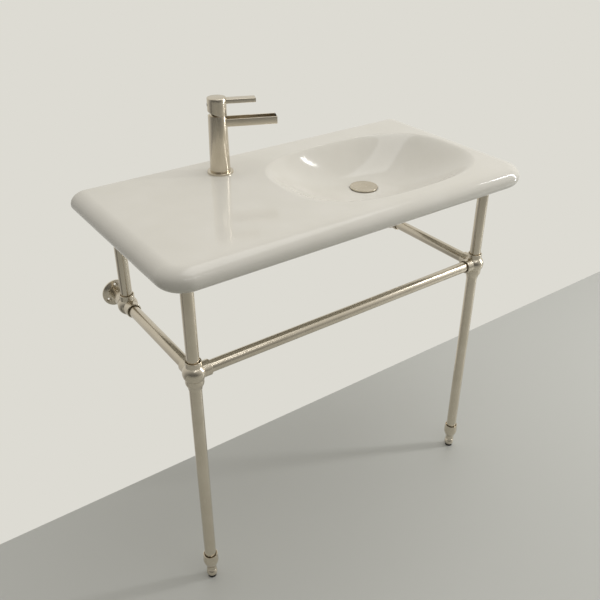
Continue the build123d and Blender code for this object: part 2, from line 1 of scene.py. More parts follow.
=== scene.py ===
import json
import math
import bmesh
import bpy
import numpy as np
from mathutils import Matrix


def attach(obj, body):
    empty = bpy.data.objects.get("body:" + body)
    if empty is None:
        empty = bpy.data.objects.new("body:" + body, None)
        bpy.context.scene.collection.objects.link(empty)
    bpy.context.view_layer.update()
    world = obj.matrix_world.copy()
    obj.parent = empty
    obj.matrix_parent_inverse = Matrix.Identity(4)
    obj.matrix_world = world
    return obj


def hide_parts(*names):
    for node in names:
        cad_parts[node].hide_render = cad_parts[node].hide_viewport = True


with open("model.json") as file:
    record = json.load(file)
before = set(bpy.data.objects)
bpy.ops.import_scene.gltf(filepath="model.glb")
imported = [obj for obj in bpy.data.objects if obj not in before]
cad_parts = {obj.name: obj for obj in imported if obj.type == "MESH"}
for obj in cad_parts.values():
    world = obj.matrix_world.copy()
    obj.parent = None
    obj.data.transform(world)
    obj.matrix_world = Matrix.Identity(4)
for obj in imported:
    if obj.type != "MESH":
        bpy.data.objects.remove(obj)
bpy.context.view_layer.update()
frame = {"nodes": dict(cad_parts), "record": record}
mm = 0.001  # shapes below are worked out in millimetres and made in metres
print("frame loaded:", len(frame["nodes"]), "nodes")


# colours and nodes

noiseSpan = (0.3, 0.7)  # nearly all of a noise pattern lies between these values


def toLinear(hexColour):
    # Linear RGBA of an sRGB hex colour: a channel c becomes c / 12.92 where it is dark,
    # and ((c + 0.055) / 1.055)^2.4 elsewhere.
    channels = [int(hexColour[i:i + 2], 16) / 255 for i in (1, 3, 5)]
    return tuple(c / 12.92 if c <= 0.04045 else ((c + 0.055) / 1.055) ** 2.4 for c in channels) + (1.0,)


def addNode(tree, kind, values=None, links=None, **settings):
    # Adds one node, sets its properties and sockets, and links its inputs.
    node = tree.nodes.new(kind)
    for name, value in settings.items():
        setattr(node, name, value)
    for socket, value in (values or {}).items():
        node.inputs[socket].default_value = value
    for socket, source in (links or {}).items():
        tree.links.new(source, node.inputs[socket])
    return node


def startMaterial(name, roughness, metallic=0.0):
    # A material with a Principled surface and nothing else.
    material = bpy.data.materials.new(name)
    material.use_nodes = True
    tree = material.node_tree
    shader = tree.nodes["Principled BSDF"]
    shader.inputs["Roughness"].default_value = roughness
    shader.inputs["Metallic"].default_value = metallic
    return material, tree, shader


def grainPattern(tree, spacing, stretch=(1, 1, 1), detail=3.0):
    # Noise on object coordinates. spacing is the real size of one grain in mm, and stretch draws it out
    # along each axis.
    place = addNode(tree, "ShaderNodeTexCoord").outputs["Object"]
    scale = tuple(1 / (spacing * mm * s) for s in stretch)
    placed = addNode(tree, "ShaderNodeMapping", {"Scale": scale}, {"Vector": place})
    fineness = {"Scale": 1.0, "Detail": detail}
    noise = addNode(tree, "ShaderNodeTexNoise", fineness, {"Vector": placed.outputs[0]})
    return noise.outputs["Fac"]


def tintBy(tree, shader, pattern, dark, light):
    # Base colour that moves between two close tones with the pattern.
    ramp = addNode(tree, "ShaderNodeValToRGB", links={"Fac": pattern})
    for stop, place, colour in zip(ramp.color_ramp.elements, noiseSpan, (dark, light)):
        stop.position = place
        stop.color = toLinear(colour)
    tree.links.new(ramp.outputs["Color"], shader.inputs["Base Color"])


def roughenBy(tree, shader, pattern, low, high):
    # Roughness that moves between low and high with the pattern.
    limits = {"From Min": noiseSpan[0], "From Max": noiseSpan[1], "To Min": low, "To Max": high}
    spread = addNode(tree, "ShaderNodeMapRange", limits, {"Value": pattern})
    tree.links.new(spread.outputs["Result"], shader.inputs["Roughness"])


def bumpBy(tree, shader, pattern, height):
    # Bump of a real height in mm.
    bump = addNode(tree, "ShaderNodeBump", {"Strength": 1.0, "Distance": height * mm}, {"Height": pattern})
    tree.links.new(bump.outputs["Normal"], shader.inputs["Normal"])


# materials

def glazedFireclay():
    # Fired clay under a poured white glaze: deep gloss, a faint warm mottle and a long soft ripple.
    material, tree, shader = startMaterial("glazedFireclay", roughness=0.1)
    shader.inputs["IOR"].default_value = 1.52
    mottle = grainPattern(tree, spacing=90, detail=2.0)
    tintBy(tree, shader, mottle, dark="#d6d3c9", light="#dad7ce")
    ripple = grainPattern(tree, spacing=38, detail=1.0)  # sag of the wet glaze, a few centimetres long
    bumpBy(tree, shader, ripple, height=0.12)
    return material


def satinNickel(name, stretch):
    # Nickel plate brushed to a satin: warm grey metal whose fine lines spread each highlight.
    material, tree, shader = startMaterial(name, roughness=0.22, metallic=1.0)
    lines = grainPattern(tree, spacing=0.8, stretch=stretch, detail=4.0)  # coarser than real ones, to show
    clouds = grainPattern(tree, spacing=45, detail=2.0)
    tintBy(tree, shader, clouds, dark="#d2c9b8", light="#d9d0c0")
    roughenBy(tree, shader, lines, low=0.17, high=0.28)
    bumpBy(tree, shader, lines, height=0.01)
    return material


def mouldedRubber():
    # Black rubber pressed in a mould: dull, with a slight bloom.
    material, tree, shader = startMaterial("mouldedRubber", roughness=0.75)
    grain = grainPattern(tree, spacing=1.2)
    tintBy(tree, shader, grain, dark="#161616", light="#222120")
    bumpBy(tree, shader, grain, height=0.03)
    return material


def mouldedAcetal():
    # Black acetal from a mould: smooth and a little waxy.
    material, tree, shader = startMaterial("mouldedAcetal", roughness=0.42)
    grain = grainPattern(tree, spacing=2.0)
    tintBy(tree, shader, grain, dark="#1a1a1a", light="#262625")
    bumpBy(tree, shader, grain, height=0.01)
    return material


def turnedBrass():
    # Bare brass off the lathe: yellow, with fine tool rings.
    material, tree, shader = startMaterial("turnedBrass", roughness=0.32, metallic=1.0)
    rings = grainPattern(tree, spacing=0.6, stretch=(30, 30, 1))
    clouds = grainPattern(tree, spacing=20)
    tintBy(tree, shader, clouds, dark="#b08f4e", light="#c2a05c")
    roughenBy(tree, shader, rings, low=0.26, high=0.42)
    bumpBy(tree, shader, rings, height=0.02)
    return material


def machinedStainless():
    # Stainless steel screws: grey, slightly dull from machining.
    material, tree, shader = startMaterial("machinedStainless", roughness=0.35, metallic=1.0)
    grain = grainPattern(tree, spacing=0.8)
    tintBy(tree, shader, grain, dark="#8d8b87", light="#a09e99")
    roughenBy(tree, shader, grain, low=0.28, high=0.45)
    return material


def lappedAlumina():
    # Lapped alumina discs: hard white ceramic with a fine polish.
    material, tree, shader = startMaterial("lappedAlumina", roughness=0.2)
    grain = grainPattern(tree, spacing=0.7)
    tintBy(tree, shader, grain, dark="#e4e0d6", light="#ece9e0")
    return material


lengthwise = 60  # a brushed line is about this many times as long as it is wide
roundabout = 15  # and this many times where it goes round a turned piece
glaze = glazedFireclay()
nickelUpright = satinNickel("satinNickelUpright", (1, 1, lengthwise))
nickelAcross = satinNickel("satinNickelAcross", (lengthwise, 1, 1))
nickelDeep = satinNickel("satinNickelDeep", (1, lengthwise, 1))
nickelTurned = satinNickel("satinNickelTurned", (roundabout, roundabout, 1))
rubber = mouldedRubber()
acetal = mouldedAcetal()
brass = turnedBrass()
stainless = machinedStainless()
alumina = lappedAlumina()
slotMaterials = {
    "glaze": glaze, "satin_nickel": nickelTurned, "black_rubber": rubber, "black_plastic": acetal,
    "disc_ceramic": alumina, "plain_brass": brass, "stainless_steel": stainless,
}
for entry in frame["record"]["subparts"]:
    cadNode = frame["nodes"][entry["node"]]
    cadNode.data.materials.clear()
    cadNode.data.materials.append(slotMaterials[entry["material_slot"]])
print("materials made")


# surfaces

mergeReach = 2e-6  # metres; points closer together than this become one
slightLength = 1e-7  # metres; edges shorter than this are dissolved


def gridFaces(rows, columns, closeRows):
    # Quads of a grid whose columns run round a ring, and whose last row joins its first where asked.
    row, column = np.meshgrid(np.arange(rows if closeRows else rows - 1), np.arange(columns), indexing="ij")
    nextRow, nextColumn = (row + 1) % rows, (column + 1) % columns
    corners = ((row, column), (row, nextColumn), (nextRow, nextColumn), (nextRow, column))
    return np.stack([r * columns + c for r, c in corners], axis=-1).reshape(-1, 4)


def surface(points, closeRows=True):
    # A grid of points, (rows, columns, 3) in mm, as vertices and quads that face outwards.
    # The sign of its volume, the sum of a . (b x c) over its triangles, says which way the quads turn.
    rows, columns = points.shape[:2]
    vertices = points.reshape(-1, 3)
    faces = gridFaces(rows, columns, closeRows)
    a, b, c, d = (vertices[faces[:, i]] for i in range(4))
    volume = np.sum(np.einsum("ij,ij->i", a, np.cross(b, c)) + np.einsum("ij,ij->i", a, np.cross(c, d)))
    if volume < 0:
        faces = faces[:, ::-1]
    return vertices, faces


def addPiece(name, surfaces, material, body, replaced, sharpAngle=38):
    # Joins surfaces into one mesh in metres, attaches it to its body and hides the CAD nodes it replaces.
    # A surface may bring flat end faces. Edges that turn by more than the sharp angle, in degrees, stay
    # crisp.
    vertices = np.concatenate([part[0] for part in surfaces]) * mm
    faces = []
    offset = 0
    for points, quads, *ends in surfaces:
        faces += (quads + offset).tolist()
        faces += [(end + offset).tolist() for end in ends]
        offset += len(points)
    mesh = bpy.data.meshes.new(name)
    mesh.from_pydata(vertices.tolist(), [], faces)
    hasEnds = len(surfaces[0]) > 2
    weld(mesh, turnFaces=hasEnds)
    mesh.polygons.foreach_set("use_smooth", np.ones(len(mesh.polygons), dtype=bool))
    mesh.set_sharp_from_angle(angle=math.radians(sharpAngle))
    mesh.materials.append(material)
    piece = bpy.data.objects.new(name, mesh)
    bpy.context.scene.collection.objects.link(piece)
    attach(piece, body)
    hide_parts(*replaced)


def weld(mesh, turnFaces):
    # Merges points that meet at poles and seams, drops faces without area, and turns faces outwards if asked.
    work = bmesh.new()
    work.from_mesh(mesh)
    bmesh.ops.remove_doubles(work, verts=work.verts, dist=mergeReach)
    bmesh.ops.dissolve_degenerate(work, edges=work.edges, dist=slightLength)
    if turnFaces:
        bmesh.ops.recalc_face_normals(work, faces=work.faces)
    work.to_mesh(mesh)
    work.free()


def turnAbout(origin, axis):
    # Origin and three directions of a turned shape: two across and one along its axis.
    along = np.array(axis, float)
    along /= np.linalg.norm(along)
    nearlyUpright = abs(along[2]) >= 0.9
    helper = np.array([1.0, 0, 0]) if nearlyUpright else np.array([0, 0, 1.0])
    across = np.cross(helper, along)
    across /= np.linalg.norm(across)
    return np.array(origin, float), across, np.cross(along, across), along


def turned(profile, origin, axis=(0, 0, 1), segments=72, closed=True):
    # Surface of revolution: a profile point (radius, height) goes round the circle
    # origin + height * along + radius * (cos(turn) * across + sin(turn) * beside).
    origin, across, beside, along = turnAbout(origin, axis)
    radius, height = np.array(profile, float).T
    turn = np.linspace(0, 2 * np.pi, segments, endpoint=False)
    circle = np.cos(turn)[:, None] * across + np.sin(turn)[:, None] * beside
    return surface(origin + height[:, None, None] * along + radius[:, None, None] * circle, closeRows=closed)


def softened(corners, steps=4):
    # Closed outline whose corners are rounded: each corner is (across, up, softness). A rounding is the
    # parabola here + before (1 - t)^2 + after t^2, which touches both sides and takes at most half of each.
    points = []
    for n, (across, up, soft) in enumerate(corners):
        here = np.array([across, up], float)
        if soft <= 0:
            points.append(here)
            continue
        before = np.array(corners[n - 1][:2], float) - here
        after = np.array(corners[(n + 1) % len(corners)][:2], float) - here
        before *= min(soft / np.linalg.norm(before), 0.5)
        after *= min(soft / np.linalg.norm(after), 0.5)
        t = np.linspace(0, 1, steps + 1)[:, None]
        points.extend(here + before * (1 - t) ** 2 + after * t ** 2)
    return points


def ball(center, radius, rings=40):
    # Sphere as a turned half circle.
    t = np.linspace(-np.pi / 2, np.pi / 2, rings)
    return turned(np.stack([radius * np.cos(t), radius * np.sin(t)], axis=1), center, closed=False)


# basin

# Sizes are in mm. The origin lies on the wall, midway between the bolts of the basin. X runs to the right,
# Y into the wall and Z up.
basin = {
    "width": 915, "depth": 450, "deck": 78, "thickness": 51, "wall": 12, "corner": 57, "back": 12,
    "rollIn": 34, "rollUp": 26, "lip": 46, "lipBand": 2,
}
bowl = {
    "center": (170, -230), "half": (250, 172), "squareness": 2.8, "depth": 80, "swell": 2.2, "fold": 1.15,
    "softness": 9, "waste": (192, -180), "floor": 37, "hole": 23, "recess": 34.5, "recessDepth": 3.2,
    "recessEdge": ((0, 0.7), (0.25, 0.2), (0.9, 0)),  # out from the recess, and down from the floor
}
apron = {
    "halfWidth": 210, "low": -30, "thickness": 15, "corner": 22, "bevel": 1.2, "boltX": 140, "boltRadius": 7,
    "spacing": 6,
}
legs = {"x": 390, "front": -379, "rear": -69, "boss": 30, "bossEdge": 2, "bossGap": 1}
pathPoints = {"side": 34, "corner": 16, "long": 130}
shellRows = {"bowl": 70, "deck": 9, "roll": 33, "underside": 22}


def rollPath():
    # The line that the rolled edge follows: round the left side, the front and the right side, with quarter
    # circles between them, then straight along the wall. Gives each point and the direction in which the roll
    # stands out there, which is nil at the wall.
    half = basin["width"] / 2 - basin["rollIn"]
    front = -(basin["depth"] - basin["rollIn"])
    turn = basin["corner"] - basin["rollIn"]
    side = np.linspace(0, front + turn, pathPoints["side"])
    quarter = np.linspace(0, np.pi / 2, pathPoints["corner"])[1:-1]
    along = np.linspace(-half + turn, half - turn, pathPoints["long"])
    wall = np.linspace(half, -half, pathPoints["long"])
    cosine, sine = np.cos(quarter), np.sin(quarter)
    leftSide = np.stack([np.full_like(side, -half), side, np.full_like(side, -1), 0 * side], axis=1)
    leftTurn = np.stack([-half + turn - turn * cosine, front + turn - turn * sine, -cosine, -sine], axis=1)
    frontSide = np.stack([along, np.full_like(along, front), 0 * along, np.full_like(along, -1)], axis=1)
    mirrored = (-1, 1, -1, 1)
    wallSide = np.stack([wall, 0 * wall, 0 * wall, 0 * wall], axis=1)
    whole = np.concatenate([
        leftSide, leftTurn, frontSide, leftTurn[::-1] * mirrored, leftSide[::-1] * mirrored, wallSide,
    ])
    return whole[:, :2], whole[:, 2:]


def bowlRing(share, ray, grow=0):
    # Outline of the bowl at a share s of the way from the waste to the rim: a rounded oval
    # |x / a|^n + |y / b|^n = 1 whose centre, half sizes and squareness move with s. Its depth is
    # d = D (1 - s^p)^q, and the eased depth d^2 / (d + e) * (D + e) / D turns in softly at the rim.
    waste, rim = np.array(bowl["waste"]), np.array(bowl["center"])
    center = waste + (rim - waste) * share
    a, b = (bowl["floor"] + (half - bowl["floor"]) * share + grow for half in bowl["half"])
    power = 2 + (bowl["squareness"] - 2) * share
    reach = (np.abs(ray[:, 0] / a) ** power + np.abs(ray[:, 1] / b) ** power) ** (-1 / power)
    depth, soft = bowl["depth"], bowl["softness"]
    drop = depth * (1 - share ** bowl["swell"]) ** bowl["fold"]
    eased = drop ** 2 / (drop + soft) * (depth + soft) / depth
    return center + reach[:, None] * ray, drop, eased


def level(outline, height):
    # Puts a plan outline at a height.
    return np.column_stack([outline, np.broadcast_to(height, len(outline))])


def basinShell():
    # One closed grid. Each column is a ray from the middle of the bowl; its rows run from the waste hole up
    # the bowl, over the deck and the roll, back under the edge and down the outside of the bowl to the hole.
    path, outward = rollPath()
    ray = path - bowl["center"]
    ray /= np.linalg.norm(ray, axis=1)[:, None]
    deck, wall, waste = basin["deck"], basin["wall"], np.array(bowl["waste"])
    floor = deck - bowl["depth"]
    hole, recess, recessFloor = bowl["hole"], bowl["recess"], floor - bowl["recessDepth"]
    wasteSteps = [(hole, floor - wall), (hole, recessFloor), (recess, recessFloor)]
    wasteSteps += [(recess + out, floor - down) for out, down in bowl["recessEdge"]]
    rows = [level(waste + radius * ray, height) for radius, height in wasteSteps]
    for t in np.linspace(0, 1, shellRows["bowl"]):
        outline, _, eased = bowlRing(1 - (1 - t) ** 2, ray)  # rows crowd towards the rim
        rows.append(level(outline, deck - eased))
    inner = rows[-1][:, :2]
    for t in np.linspace(0, 1, shellRows["deck"])[1:]:
        rows.append(level(inner + (path - inner) * t, deck))
    middle = deck - basin["rollUp"]
    rollDown = basin["thickness"] - basin["rollUp"]
    for turn in np.linspace(np.pi / 2, -np.pi / 2, shellRows["roll"])[1:]:
        up = basin["rollUp"] if turn > 0 else rollDown
        rows.append(level(path + outward * basin["rollIn"] * math.cos(turn), middle + up * math.sin(turn)))
    edge = basin["width"] / 2 - basin["lip"]
    lip = path - outward * (basin["lip"] - basin["rollIn"])
    lip = np.stack([np.clip(lip[:, 0], -edge, edge), np.minimum(lip[:, 1], -basin["back"])], axis=1)
    low = deck - basin["thickness"]
    rows += [level(lip, height) for height in (low, low + basin["lipBand"], deck - wall)]
    for t in np.linspace(1, 0, shellRows["underside"]):
        outline, drop, _ = bowlRing(t, ray, grow=wall)
        rows.append(level(outline, deck - wall - drop))
    return surface(np.stack(rows))


def outlineOf(corners, spacing):
    # Points round a polygon with softened corners, whose long sides are cut into steps of about one spacing.
    ring = np.array(softened(corners, steps=8))
    pieces = []
    for start, end in zip(ring, np.roll(ring, -1, axis=0)):
        steps = max(1, int(np.linalg.norm(end - start) / spacing))
        pieces.append(start + (end - start) * np.linspace(0, 1, steps, endpoint=False)[:, None])
    return np.concatenate(pieces)


def apronHalf(side):
    # Half of the plate for the wall bolts: rays run from the bolt hole to the plate's outline.
    outer = side * apron["halfWidth"]
    low, high = apron["low"], basin["deck"] - basin["thickness"]
    corners = [(0, low, 0), (outer, low, apron["corner"]), (outer, high, 0), (0, high, 0)]
    outline = outlineOf(corners, apron["spacing"])
    center = np.array([side * apron["boltX"], 0.0])
    ray = outline - center
    reach = np.linalg.norm(ray, axis=1)[:, None]
    hole = center + ray / reach * apron["boltRadius"]
    bevel = center + ray * (1 - apron["bevel"] / reach)
    front = -apron["thickness"]
    rows = []
    edge = front + apron["bevel"]
    for plan, y in ((hole, 0), (outline, 0), (outline, edge), (bevel, front), (hole, front)):
        rows.append(np.stack([plan[:, 0], np.full(len(plan), float(y)), plan[:, 1]], axis=1))
    return surface(np.stack(rows))


def boss(x, y):
    # Round pad over the top of a leg, which ends just short of the deck's underside.
    low, high = basin["deck"] - basin["thickness"], basin["deck"] - basin["wall"] - legs["bossGap"]
    radius = legs["boss"]
    profile = softened([(0, low, 0), (radius, low, legs["bossEdge"]), (radius, high, 0), (0, high, 0)])
    return turned(profile, (x, y, 0))


legPlaces = [(x, y) for x in (-legs["x"], legs["x"]) for y in (legs["front"], legs["rear"])]
basinSurfaces = [basinShell(), apronHalf(-1), apronHalf(1)] + [boss(x, y) for x, y in legPlaces]
addPiece("basinCasting", basinSurfaces, glaze, "console", ["basin"], sharpAngle=42)
print("basin made")


# frame of tubes

tubing = {
    "radius": 13, "wall": 1.5, "endEdge": 0.4, "rail": -182, "ground": -774, "top": 19, "flangeFace": -2,
    "segments": 96,
}
joint = {
    "frontBall": 23.5, "rearBall": 22.5, "reach": 34, "upperReach": 28, "tubeDepth": 18, "legSeat": 14,
    "boreGap": 0.2, "boreDepth": 9,
}
collar = {"radius": 16.7, "root": 4, "edge": 1.1, "mouth": 1.2, "mouthEdge": 0.3, "mouthDepth": 2.2}
neck = {
    "radius": 19.2, "shoulder": 24, "shoulderEdge": 3, "reach": 38, "endRadius": 14.4, "taper": 0.2,
    "taperHeight": 4, "taperEdge": 2, "outerEdge": 0.5, "innerEdge": 0.2,
}


def tube(start, end):
    # Round tube from one point to another.
    start, end = np.array(start, float), np.array(end, float)
    length = np.linalg.norm(end - start)
    outer, inner, edge = tubing["radius"], tubing["radius"] - tubing["wall"], tubing["endEdge"]
    profile = softened([(outer, 0, edge), (outer, length, edge), (inner, length, 0), (inner, 0, 0)])
    return turned(profile, start, end - start, segments=tubing["segments"])


def ballCollar(center, direction, reach):
    # Collar that stands out of a ball, with a chamfered mouth that leaves a dark line round the tube.
    radius, root = collar["radius"], collar["root"]
    bore, stop = tubing["radius"] + joint["boreGap"], reach - joint["boreDepth"]
    profile = softened([
        (0, root, 0), (radius, root, 0), (radius, reach, collar["edge"]),
        (bore + collar["mouth"], reach, collar["mouthEdge"]), (bore, reach - collar["mouthDepth"], 0),
        (bore, stop, 0), (0, stop, 0),
    ])
    return turned(profile, center, direction, segments=tubing["segments"])


def ballNeck(center):
    # Tapered collar under a front ball.
    radius, endRadius, end = neck["radius"], neck["endRadius"], -neck["reach"]
    bore, stop = tubing["radius"] + joint["boreGap"], end + joint["boreDepth"]
    profile = softened([
        (0, 0, 0), (radius, 0, 0), (radius, -neck["shoulder"], neck["shoulderEdge"]),
        (endRadius + neck["taper"], end + neck["taperHeight"], neck["taperEdge"]),
        (endRadius, end, neck["outerEdge"]), (bore, end, neck["innerEdge"]), (bore, stop, 0), (0, stop, 0),
    ])
    return turned(profile, center, segments=tubing["segments"])


def frontJoint(x, inward):
    # Ball with collars up, inwards and to the rear, and a neck below.
    center = (x, legs["front"], tubing["rail"])
    reach, upperReach = joint["reach"], joint["upperReach"]
    return [
        ball(center, joint["frontBall"]), ballCollar(center, (0, 0, 1), upperReach),
        ballCollar(center, (inward, 0, 0), reach), ballCollar(center, (0, 1, 0), reach), ballNeck(center),
    ]


def rearTee(x):
    # Ball with collars up, to the front and to the wall.
    center = (x, legs["rear"], tubing["rail"])
    reach, upperReach = joint["reach"], joint["upperReach"]
    return [
        ball(center, joint["rearBall"]), ballCollar(center, (0, 0, 1), upperReach),
        ballCollar(center, (0, -1, 0), reach), ballCollar(center, (0, 1, 0), reach),
    ]


flange = {
    "radius": 31.5, "edge": 3, "dome": 8, "neck": 15, "bore": 13.05, "circle": 22, "screw": 2.75, "sink": 5.4,
    "count": 3, "arcPoints": 28, "sidePoints": 10, "rows": 14,
}


def flangeHeight(radius):
    # Dome of the flange: flat at the neck, then e + (d - e) cos over the rest of the radius.
    share = np.clip((radius - flange["neck"]) / (flange["radius"] - flange["neck"]), 0, 1)
    return flange["edge"] + (flange["dome"] - flange["edge"]) * np.cos(share * np.pi / 2)


def flangeSector(x, turn):
    # A third of the flange round one screw hole, as rays from the countersunk hole to the sector's outline.
    half, sidePoints = np.pi / flange["count"], flange["sidePoints"]
    arc = np.ones(flange["arcPoints"])
    sweep = np.linspace(-half, half, flange["arcPoints"])
    side = np.linspace(flange["radius"], flange["bore"], sidePoints + 2)[1:-1]
    radii = np.concatenate([flange["radius"] * arc, side, flange["bore"] * arc, side[::-1]])
    angles = np.concatenate([sweep, np.full(sidePoints, half), sweep[::-1], np.full(sidePoints, -half)])
    outline = np.stack([radii * np.cos(angles), radii * np.sin(angles)], axis=1)
    center = np.array([flange["circle"], 0.0])
    ray = outline - center
    unit = ray / np.linalg.norm(ray, axis=1)[:, None]
    hole = center + unit * flange["screw"]
    sink = center + unit * flange["sink"]
    cone = flange["sink"] - flange["screw"]
    rows = [(hole, 0.0), (hole, flange["edge"]), (sink, flange["edge"] + cone)]
    for t in np.linspace(0, 1, flange["rows"]):
        plan = sink + (outline - sink) * t
        rows.append((plan, flangeHeight(np.linalg.norm(plan, axis=1))))
    rows.append((outline, 0.0))
    cosine, sine = math.cos(turn), math.sin(turn)
    points = []
    for plan, height in rows:
        across = plan[:, 0] * cosine - plan[:, 1] * sine
        up = plan[:, 0] * sine + plan[:, 1] * cosine
        out = -np.broadcast_to(height, len(plan))
        points.append(np.stack([x + across, out, tubing["rail"] + up], axis=1))
    return surface(np.stack(points))


cup = {
    "low": 25.1, "lowRadius": 11.4, "neck": 10.2, "neckHeight": 33, "swell": 1.15, "radius": 17.5,
    "widest": 56, "rim": 74, "rimRadius": 16.4, "well": 14.8, "wellDepth": 8, "seat": 25, "gap": 0.1,
    "points": 30,
}
foot = {
    "pad": 3, "padRadius": 9.5, "padLowEdge": 0.6, "padTopEdge": 0.2, "bun": 12.35, "bunMiddle": 13.5,
    "bunTop": 24.5, "bunCuts": (7.2, 5.6), "stud": 5, "studStep": 0.2, "studTop": 66, "points": 26,
}


def footCup(x):
    # Goblet-shaped collar. Its side runs straight from end to neck and from belly to rim; between neck and
    # belly the radius is neck + (belly - neck) sin(rise)^p.
    low, neckHeight, widest, rim = cup["low"], cup["neckHeight"], cup["widest"], cup["rim"]
    h = np.linspace(low, rim, cup["points"])
    straight = np.interp(
        h, [low, neckHeight, widest, rim], [cup["lowRadius"], cup["neck"], cup["radius"], cup["rimRadius"]],
    )
    rise = np.clip((h - neckHeight) / (widest - neckHeight), 0, 1) * np.pi / 2
    swell = cup["neck"] + (cup["radius"] - cup["neck"]) * np.sin(rise) ** cup["swell"]
    r = np.where((h > neckHeight) & (h < widest), swell, straight)
    shelf, seat = rim - cup["wellDepth"], rim - cup["seat"]
    bore, studHole = tubing["radius"] + cup["gap"], foot["stud"] + cup["gap"]
    profile = np.stack([r, h], axis=1).tolist()
    profile += [(cup["well"], rim), (cup["well"], shelf), (bore, shelf), (bore, seat)]
    profile += [(studHole, seat), (studHole, low)]
    return turned(profile, (x, legs["front"], tubing["ground"]), segments=tubing["segments"])


def levellingFoot(x):
    # Round foot: most of a sphere, flattened below, with its stud.
    low, high = (math.acos(cut / foot["bun"]) for cut in foot["bunCuts"])
    t = np.linspace(-low, high, foot["points"])
    r = foot["bun"] * np.cos(t)
    h = foot["bunMiddle"] + foot["bun"] * np.sin(t)
    pad, stud, studTop = foot["pad"], foot["stud"], foot["studTop"]
    profile = [(0, pad), (r[0], pad)] + np.stack([r, h], axis=1).tolist()
    profile += [(stud, foot["bunTop"] + foot["studStep"]), (stud, studTop), (0, studTop)]
    return turned(profile, (x, legs["front"], tubing["ground"]), closed=False)


def footPad(x):
    # Rubber disc under a foot.
    radius, height = foot["padRadius"], foot["pad"]
    profile = softened([
        (0, 0, 0), (radius, 0, foot["padLowEdge"]), (radius, height, foot["padTopEdge"]), (0, height, 0),
    ])
    return turned(profile, (x, legs["front"], tubing["ground"]))


def wallFlange(x):
    # One sector round each screw hole, the first of them on top.
    return [flangeSector(x, np.pi / 2 + k * 2 * np.pi / flange["count"]) for k in range(flange["count"])]


def buildFrame():
    # Tubes, ball joints, flanges and feet of both sides, then the front rail between them.
    rail, top, front, rear = tubing["rail"], tubing["top"], legs["front"], legs["rear"]
    seat, seatUp = joint["reach"] - joint["tubeDepth"], joint["upperReach"] - joint["tubeDepth"]
    legLow, legHigh = tubing["ground"] + cup["rim"] - cup["seat"], rail - joint["legSeat"]
    for side, x, inward in (("left", -legs["x"], 1), ("right", legs["x"], -1)):
        tubes = {
            "upper_leg": ((x, front, rail + seatUp), (x, front, top), nickelUpright),
            "lower_leg": ((x, front, legLow), (x, front, legHigh), nickelUpright),
            "side_rail": ((x, rear - seat, rail), (x, front + seat, rail), nickelDeep),
            "rear_upright": ((x, rear, rail + seatUp), (x, rear, top), nickelUpright),
            "wall_stub": ((x, tubing["flangeFace"], rail), (x, rear + seat, rail), nickelDeep),
        }
        for part, (start, end, material) in tubes.items():
            node = f"{side}_{part}"
            addPiece(f"{node}_tube", [tube(start, end)], material, "console", [node])
        pieces = {
            "front_joint": (frontJoint(x, inward), nickelTurned, "console", "satin_nickel"),
            "rear_tee": (rearTee(x), nickelTurned, "console", "satin_nickel"),
            "wall_flange": (wallFlange(x), nickelTurned, "console", "satin_nickel"),
            "foot_cup": ([footCup(x)], nickelTurned, "console", "satin_nickel"),
            "levelling_foot": ([levellingFoot(x)], nickelTurned, f"{side}_foot", "satin_nickel"),
            "foot_pad": ([footPad(x)], rubber, f"{side}_foot", "black_rubber"),
        }
        for part, (surfaces, material, body, slot) in pieces.items():
            node = f"{side}_{part}"
            addPiece(f"{node}_form", surfaces, material, body, [node])
    end = legs["x"] - seat
    railTube = tube((-end, front, rail), (end, front, rail))
    addPiece("front_rail_tube", [railTube], nickelAcross, "console", ["front_rail"])


buildFrame()
print("frame of tubes made")


# tap

# Heights are measured from the deck, and the lever and spout point along X until atTap turns them.
tap = {
    "x": -138, "y": -74.5, "turn": math.radians(-23), "ring": 29, "ringHole": 16.4, "ringHeight": 4.2,
    "ringLowEdge": 0.3, "ringTopEdge": 1, "bodyGap": 0.1, "bodyLow": 22.4, "bodyHigh": 20.4, "bodyTop": 128,
    "bodyLowEdge": 0.5, "bodyTopEdge": 0.6, "bore": 17.45, "boreEdge": 0.2, "boreDepth": 9, "segments": 120,
}
cap = {
    "radius": 20.7, "wall": 3, "top": 166, "gap": 1, "pivot": 112, "lift": math.radians(20), "clearance": 0.8,
    "topEdge": ((1.4, 0), (0.75, 0.15), (0.25, 0.6), (0, 1.4)),  # in from the side, and down from the top
    "lowEdge": 0.4, "sideRows": 5,
}
lever = {
    "tail": 14, "reach": 83, "width": 21, "thickness": 9, "drop": 3.5, "edge": 0.9,
    "endEdge": ((0.8, 0), (0.25, 0.2), (0, 0.75)),  # back from the end, and in from the side
}
spout = {
    "root": 15.4, "reach": 128, "width": 28, "bottom": 105, "height": 16, "wall": 2.5, "lowEdge": 0.7,
    "lipEdge": 0.5, "innerEdge": 1.2, "endEdge": ((0.5, 0), (0.15, 0.12), (0, 0.45)),
}
plug = {
    "radius": 3.2, "height": 1.2, "rim": 0.9, "dish": 0.7, "edge": 0.2, "rimEdge": 0.3, "sunk": 0.9,
    "up": 151.1, "segments": 40,
}


def atTap(shape):
    # Turns a surface made round the tap's axis and sets it on the deck.
    vertices, *rest = shape
    cosine, sine = math.cos(tap["turn"]), math.sin(tap["turn"])
    spin = np.array([[cosine, sine, 0], [-sine, cosine, 0], [0, 0, 1]])
    return vertices @ spin + (tap["x"], tap["y"], basin["deck"]), *rest


def baseRing():
    # Flat ring between the deck and the body.
    hole, radius, height = tap["ringHole"], tap["ring"], tap["ringHeight"]
    lowEdge, topEdge = tap["ringLowEdge"], tap["ringTopEdge"]
    profile = softened([(hole, 0, 0), (radius, 0, lowEdge), (radius, height, topEdge), (hole, height, 0)])
    return turned(profile, (0, 0, 0), segments=tap["segments"])


